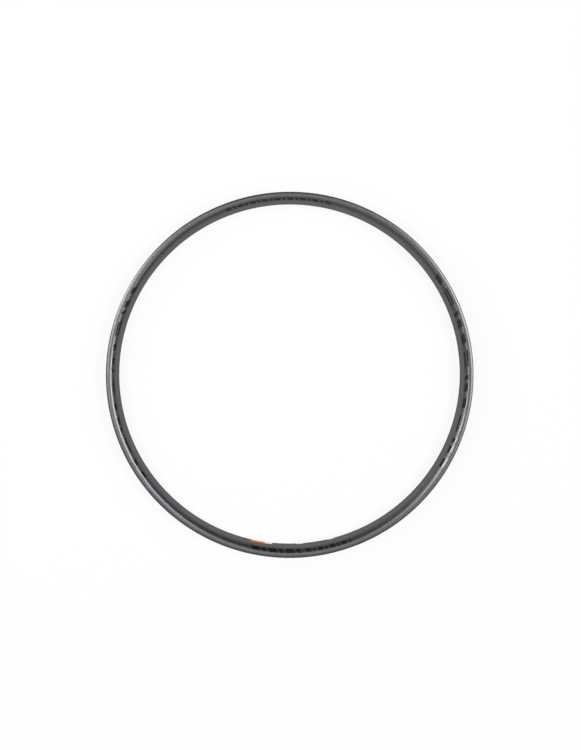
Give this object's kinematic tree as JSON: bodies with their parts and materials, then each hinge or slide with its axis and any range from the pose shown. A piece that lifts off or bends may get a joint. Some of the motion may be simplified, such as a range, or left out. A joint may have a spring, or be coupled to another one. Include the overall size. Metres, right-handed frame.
{
  "type": "bicycle rim",
  "caption": "Bare hollow aluminium bicycle rim with hooked flanges, a drop-centre tyre bed, an arched spoke bed, radial spoke holes and a valve hole.",
  "frame": {"origin": "the wheel's centre: on the axle line, at the rim's mid plane", "axes": "+Z along the wheel's axle, out of the face that the picture shows; +Y towards the valve hole"},
  "size_m": [0.596, 0.596, 0.04],
  "materials": {
    "rim_anodised": "bead-blasted, satin anodised charcoal",
    "decal_black": "gloss film",
    "label_orange": "printed film",
    "label_white": "printed film"
  },
  "bodies": {
    "root": {"rim": "rim_anodised"}
  },
  "joints": []
}
